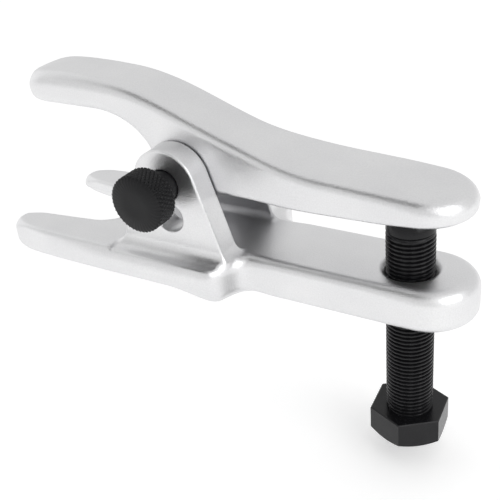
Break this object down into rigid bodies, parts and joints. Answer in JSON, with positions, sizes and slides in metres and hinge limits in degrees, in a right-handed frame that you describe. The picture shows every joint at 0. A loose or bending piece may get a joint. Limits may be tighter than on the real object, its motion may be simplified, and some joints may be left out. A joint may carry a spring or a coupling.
{
  "type": "ball joint separator",
  "caption": "Lever-type ball joint separator with a forked frame, a rocking jaw lever, a hexagon-headed forcing screw and a pivot pin with a knurled knob that fits two pairs of holes.",
  "frame": {"origin": "centre of the fork's throat, where the ball stud stands, on the fork's top face", "axes": "+X from the fork towards the forcing screw, +Z from the fork towards the jaw, the knurled knob on the -Y side"},
  "size_m": [0.1735, 0.067, 0.1199],
  "materials": {
    "satin_steel": "satin chrome-plated forging",
    "black_screw": "black oxide, oiled",
    "black_pin": "black oxide, matt"
  },
  "bodies": {
    "frame": {"lower_frame": "satin_steel"},
    "lever": {"upper_lever": "satin_steel"},
    "cap": {"thrust_cap": "black_screw"},
    "screw": {"forcing_screw": "black_screw"},
    "pin": {"pivot_pin": "black_pin"},
    "knob": {"thumb_knob": "black_pin"}
  },
  "joints": [
    {"name": "screw_travel", "type": "slide", "parent": "frame", "child": "cap", "axis": [0, 0, 1], "range_m": [-0.009, 0.039]},
    {"name": "screw_turn", "type": "hinge", "parent": "cap", "child": "screw", "pos_m": [0.122, 0, 0], "axis": [0, 0, 1], "range_deg": [-2161, 9361]},
    {"name": "lever_tilt", "type": "hinge", "parent": "frame", "child": "lever", "pos_m": [0.044, 0, 0.0246], "axis": [0, -1, 0], "range_deg": [-6.62, 28.66]},
    {"name": "pin_draw", "type": "slide", "parent": "frame", "child": "pin", "axis": [0, -1, 0], "range_m": [0, 0.009]},
    {"name": "knob_turn", "type": "hinge", "parent": "pin", "child": "knob", "pos_m": [0.044, 0, 0.0246], "axis": [0, -1, 0], "range_deg": [-1, 2161]}
  ],
  "couplings": [
    {"joint": "screw_turn", "follows": "screw_travel", "rad_per_m": 4188.8},
    {"joint": "lever_tilt", "follows": "screw_travel", "rad_per_m": 12.821},
    {"joint": "knob_turn", "follows": "pin_draw", "rad_per_m": 4188.8}
  ]
}
